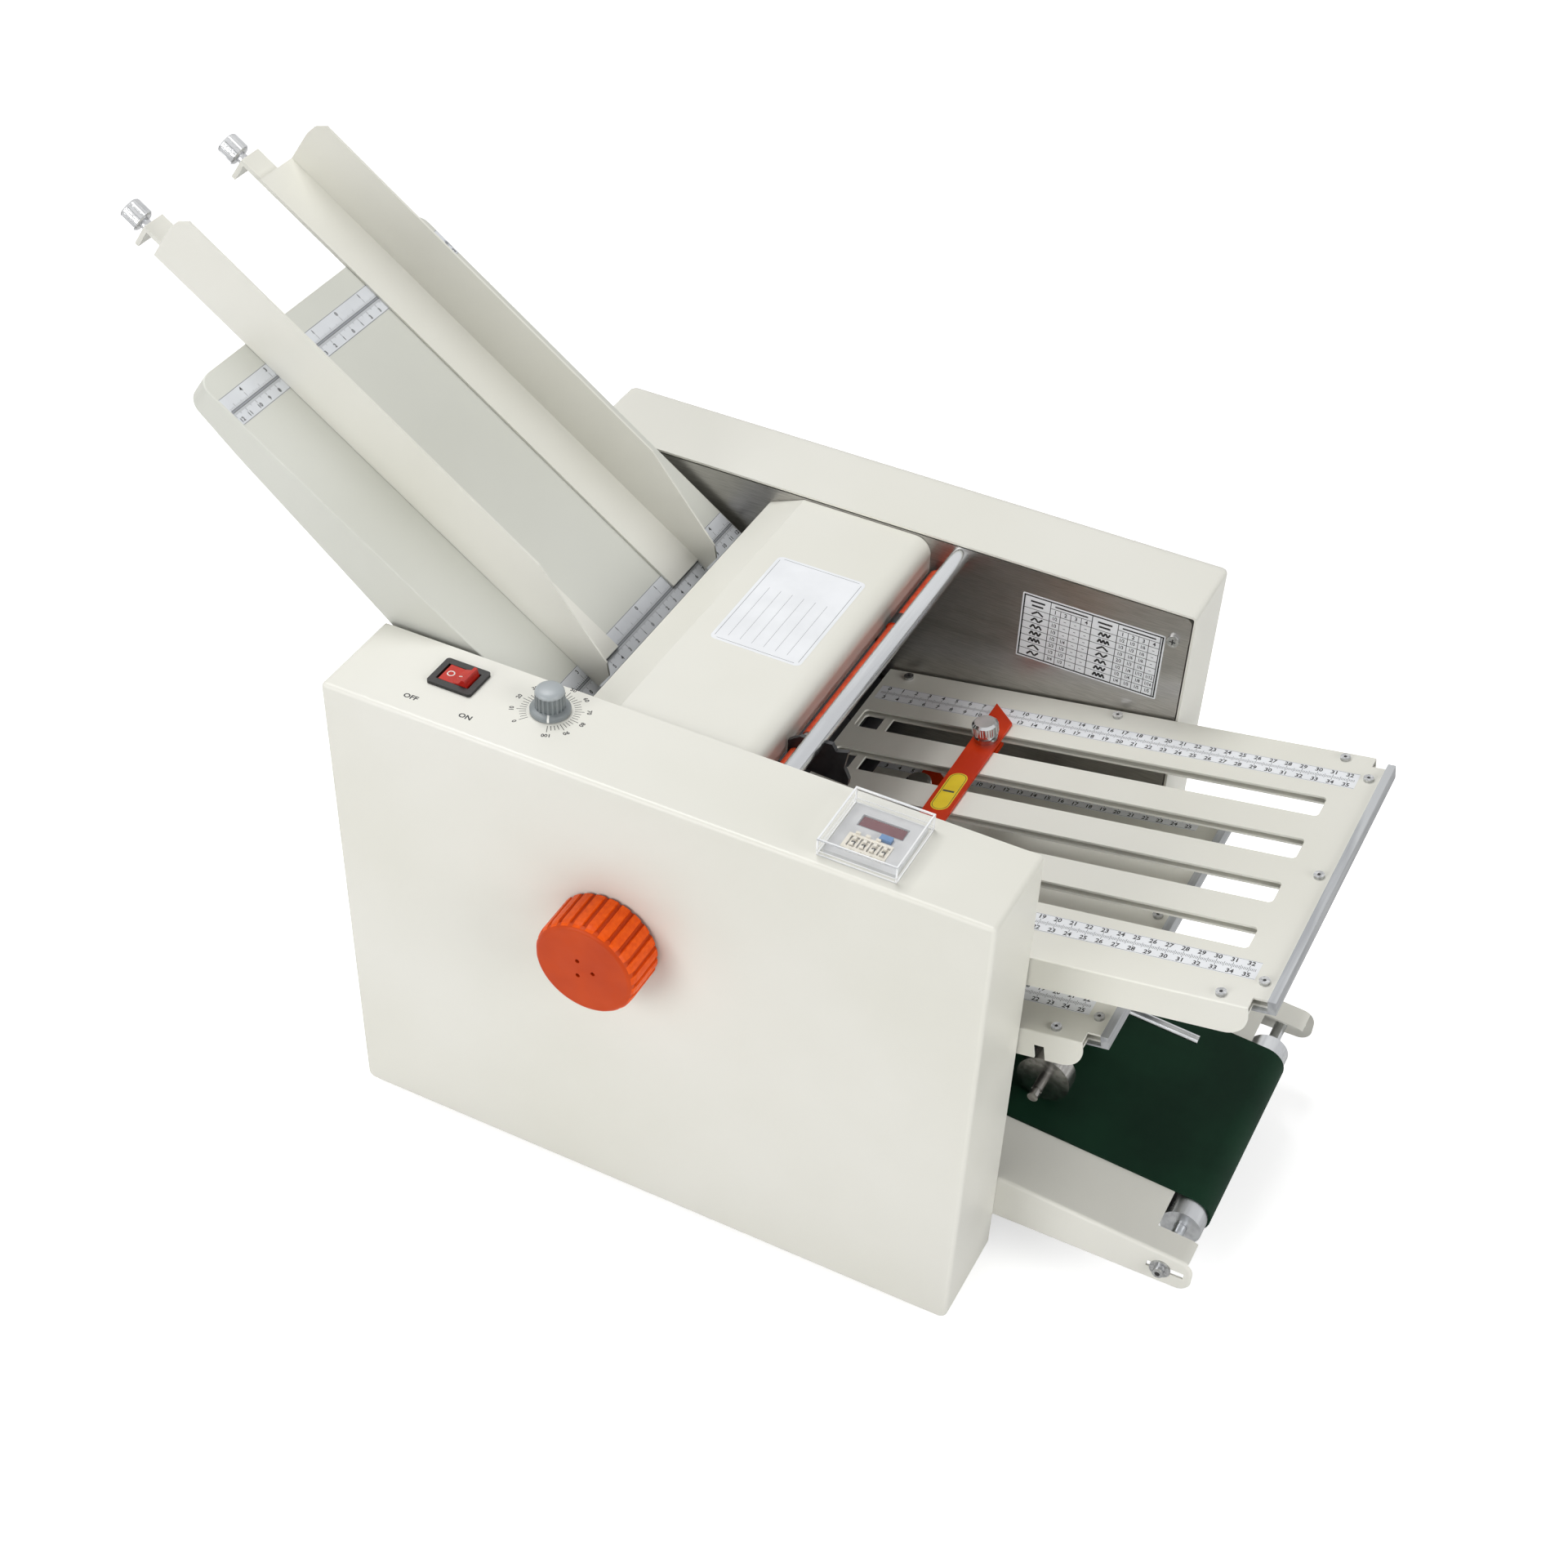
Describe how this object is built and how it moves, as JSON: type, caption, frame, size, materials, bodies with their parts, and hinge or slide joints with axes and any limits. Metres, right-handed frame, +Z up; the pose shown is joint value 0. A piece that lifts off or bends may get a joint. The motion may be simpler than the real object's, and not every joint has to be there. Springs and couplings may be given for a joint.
{
  "type": "paper folding machine",
  "caption": "Desk machine that buckle-folds sheets: sloping feed table with side guides, slotted fold trays with stop bars, hand knob, counter and a delivery conveyor.",
  "frame": {"origin": "middle of the rectangle of the four rubber feet, on the surface that the machine stands on", "axes": "+Z up, +X along the way the paper runs, towards the delivery conveyor, -Y towards the operator's side with the switch, dial, counter and hand knob"},
  "size_m": [0.8142, 0.4222, 0.5648],
  "materials": {
    "cream": "satin powder coat",
    "steel": "brushed",
    "zinc": "satin",
    "chrome": "polished",
    "dark": "satin",
    "orange_paint": "gloss",
    "orange_plastic": "satin",
    "black_plastic": "matt",
    "red_plastic": "gloss",
    "grey_plastic": "satin",
    "white_plastic": "satin",
    "blue_plastic": "satin",
    "clear": "clear",
    "rubber_black": "matt",
    "rubber_red": "matt",
    "belt_green": "fine weave",
    "board_green": "satin"
  },
  "bodies": {
    "machine": {"base_pan": "zinc", "bushings": "black_plastic", "control_board": "board_green", "conveyor_belt": "belt_green", "conveyor_frame": "cream", "counter_housing": "white_plastic", "counter_lid": "clear", "cross_rods": "zinc", "drive_belts": "dark", "feed_table": "cream", "front_cover": "cream", "front_side_plate": "steel", "guide_bar": "rubber_red", "infeed_guides": "steel", "left_tray_plates": "cream", "motor": "dark", "power_inlet": "black_plastic", "preset_wheels": "white_plastic", "rear_cover": "cream", "rear_side_plate": "steel", "rubber_feet": "rubber_black", "screws": "chrome", "separator_pad": "rubber_black", "switch_bezel": "black_plastic", "top_cover": "cream", "tray_1_lower_plate": "cream", "tray_1_upper_plate": "cream", "tray_3_lower_plate": "cream", "tray_3_upper_plate": "cream", "tray_end_strips": "zinc"},
    "near_guide": {"near_side_guide": "cream"},
    "far_guide": {"far_side_guide": "cream"},
    "near_clamp": {"near_clamp_screw": "chrome"},
    "far_clamp": {"far_clamp_screw": "chrome"},
    "feed_roller": {"feed_shaft": "steel", "feed_tyres": "rubber_black"},
    "hand_crank": {"hand_shaft": "steel", "hand_knob": "orange_plastic"},
    "conveyor_drive": {"conveyor_drive_roller": "zinc"},
    "conveyor_idler": {"conveyor_idler_roller": "zinc"},
    "arm": {"press_arm": "zinc"},
    "press": {"press_roller": "steel"},
    "motor_wheel": {"motor_pulley": "zinc"},
    "rocker": {"switch_rocker": "red_plastic"},
    "dial": {"speed_dial": "grey_plastic"},
    "reset": {"reset_key": "blue_plastic"},
    "roller_1": {"fold_roller_1": "steel"},
    "roller_2": {"fold_roller_2": "steel"},
    "roller_3": {"fold_roller_3": "steel"},
    "roller_4": {"fold_roller_4": "steel"},
    "roller_5": {"fold_roller_5": "steel"},
    "roller_6": {"fold_roller_6": "steel"},
    "tray_1_stop": {"tray_1_stop_bar": "orange_paint"},
    "tray_1_thumb": {"tray_1_stop_screw": "chrome"},
    "tray_2_stop": {"tray_2_stop_bar": "orange_paint"},
    "tray_2_thumb": {"tray_2_stop_screw": "chrome"},
    "tray_3_stop": {"tray_3_stop_bar": "orange_paint"},
    "tray_3_thumb": {"tray_3_stop_screw": "chrome"},
    "tray_4_stop": {"tray_4_stop_bar": "orange_paint"},
    "tray_4_thumb": {"tray_4_stop_screw": "chrome"}
  },
  "joints": [
    {"name": "near_guide_slide", "type": "slide", "parent": "machine", "child": "near_guide", "axis": [0, 1, 0], "range_m": [-0.034, 0.021]},
    {"name": "far_guide_slide", "type": "slide", "parent": "machine", "child": "far_guide", "axis": [0, 1, 0], "range_m": [-0.021, 0.034]},
    {"name": "near_clamp_turn", "type": "hinge", "parent": "near_guide", "child": "near_clamp", "pos_m": [-0.42843, -0.05, 0.53698], "axis": [0.8192, 0, -0.5736], "range_deg": [0, 360]},
    {"name": "far_clamp_turn", "type": "hinge", "parent": "far_guide", "child": "far_clamp", "pos_m": [-0.42843, 0.05, 0.53698], "axis": [0.8192, 0, -0.5736], "range_deg": [0, 360]},
    {"name": "roller_2_spin", "type": "hinge", "parent": "machine", "child": "roller_2", "pos_m": [-0.00001, 0, 0.22152], "axis": [0, 1, 0], "continuous": true},
    {"name": "roller_1_spin", "type": "hinge", "parent": "machine", "child": "roller_1", "pos_m": [-0.005, 0, 0.2506], "axis": [0, 1, 0], "continuous": true},
    {"name": "roller_3_spin", "type": "hinge", "parent": "machine", "child": "roller_3", "pos_m": [0.00497, 0, 0.19245], "axis": [0, 1, 0], "continuous": true},
    {"name": "roller_4_spin", "type": "hinge", "parent": "machine", "child": "roller_4", "pos_m": [0.00996, 0, 0.16337], "axis": [0, 1, 0], "continuous": true},
    {"name": "roller_5_spin", "type": "hinge", "parent": "machine", "child": "roller_5", "pos_m": [0.01494, 0, 0.1343], "axis": [0, 1, 0], "continuous": true},
    {"name": "roller_6_spin", "type": "hinge", "parent": "machine", "child": "roller_6", "pos_m": [0.01993, 0, 0.10522], "axis": [0, 1, 0], "continuous": true},
    {"name": "hand_crank_spin", "type": "hinge", "parent": "machine", "child": "hand_crank", "pos_m": [-0.02281, -0.15, 0.24025], "axis": [0, 1, 0], "continuous": true},
    {"name": "feed_roller_spin", "type": "hinge", "parent": "machine", "child": "feed_roller", "pos_m": [-0.057, 0, 0.313], "axis": [0, 1, 0], "continuous": true},
    {"name": "motor_spin", "type": "hinge", "parent": "machine", "child": "motor_wheel", "pos_m": [-0.112, 0.15, 0.05], "axis": [0, 1, 0], "continuous": true},
    {"name": "conveyor_drive_spin", "type": "hinge", "parent": "machine", "child": "conveyor_drive", "pos_m": [0.054, 0, 0.077], "axis": [0, 1, 0], "continuous": true},
    {"name": "conveyor_idler_spin", "type": "hinge", "parent": "machine", "child": "conveyor_idler", "pos_m": [0.337, 0, 0.0545], "axis": [0, 1, 0], "continuous": true},
    {"name": "press_arm_slide", "type": "slide", "parent": "machine", "child": "arm", "axis": [0.9969, 0, -0.0793], "range_m": [-0.118, 0.068]},
    {"name": "press_roller_spin", "type": "hinge", "parent": "arm", "child": "press", "pos_m": [0.22021, 0, 0.09824], "axis": [0, 1, 0], "continuous": true},
    {"name": "tray_1_stop_slide", "type": "slide", "parent": "machine", "child": "tray_1_stop", "axis": [0.9856, 0, 0.169], "range_m": [-0.065, 0.217]},
    {"name": "tray_1_thumb_turn", "type": "hinge", "parent": "tray_1_stop", "child": "tray_1_thumb", "pos_m": [0.11314, 0.066, 0.25894], "axis": [-0.169, 0, 0.9856], "range_deg": [0, 360]},
    {"name": "tray_2_stop_slide", "type": "slide", "parent": "machine", "child": "tray_2_stop", "axis": [-0.9856, 0, -0.169], "range_m": [-0.045, 0.09]},
    {"name": "tray_2_thumb_turn", "type": "hinge", "parent": "tray_2_stop", "child": "tray_2_thumb", "pos_m": [-0.0928, 0.066, 0.19369], "axis": [-0.169, 0, 0.9856], "range_deg": [0, 360]},
    {"name": "tray_3_stop_slide", "type": "slide", "parent": "machine", "child": "tray_3_stop", "axis": [0.9856, 0, 0.169], "range_m": [-0.015, 0.168]},
    {"name": "tray_3_thumb_turn", "type": "hinge", "parent": "tray_3_stop", "child": "tray_3_thumb", "pos_m": [0.07018, 0.066, 0.19171], "axis": [-0.169, 0, 0.9856], "range_deg": [0, 360]},
    {"name": "tray_4_stop_slide", "type": "slide", "parent": "machine", "child": "tray_4_stop", "axis": [-0.9856, 0, -0.169], "range_m": [-0.031, 0.075]},
    {"name": "tray_4_thumb_turn", "type": "hinge", "parent": "tray_4_stop", "child": "tray_4_thumb", "pos_m": [-0.06804, 0.066, 0.13808], "axis": [-0.169, 0, 0.9856], "range_deg": [0, 360]},
    {"name": "rocker_tilt", "type": "hinge", "parent": "machine", "child": "rocker", "pos_m": [-0.1512, -0.1516, 0.356], "axis": [0, 1, 0], "range_deg": [0, 14]},
    {"name": "dial_turn", "type": "hinge", "parent": "machine", "child": "dial", "pos_m": [-0.0875, -0.1505, 0.36], "axis": [0, 0, 1], "range_deg": [0, 300]},
    {"name": "reset_press", "type": "slide", "parent": "machine", "child": "reset", "axis": [0, 0, 1], "range_m": [-0.0015, 0], "stiffness_N_per_m": 150}
  ],
  "couplings": [
    {"joint": "roller_1_spin", "follows": "roller_2_spin", "ratio": -1},
    {"joint": "roller_3_spin", "follows": "roller_2_spin", "ratio": -1},
    {"joint": "roller_4_spin", "follows": "roller_2_spin", "ratio": 1},
    {"joint": "roller_5_spin", "follows": "roller_2_spin", "ratio": -1},
    {"joint": "roller_6_spin", "follows": "roller_2_spin", "ratio": 1},
    {"joint": "hand_crank_spin", "follows": "roller_2_spin", "ratio": -1},
    {"joint": "feed_roller_spin", "follows": "roller_2_spin", "ratio": -1},
    {"joint": "motor_spin", "follows": "roller_2_spin", "ratio": 1},
    {"joint": "conveyor_drive_spin", "follows": "roller_2_spin", "ratio": 1},
    {"joint": "conveyor_idler_spin", "follows": "roller_2_spin", "ratio": 1},
    {"joint": "press_roller_spin", "follows": "roller_2_spin", "ratio": -0.8405}
  ]
}
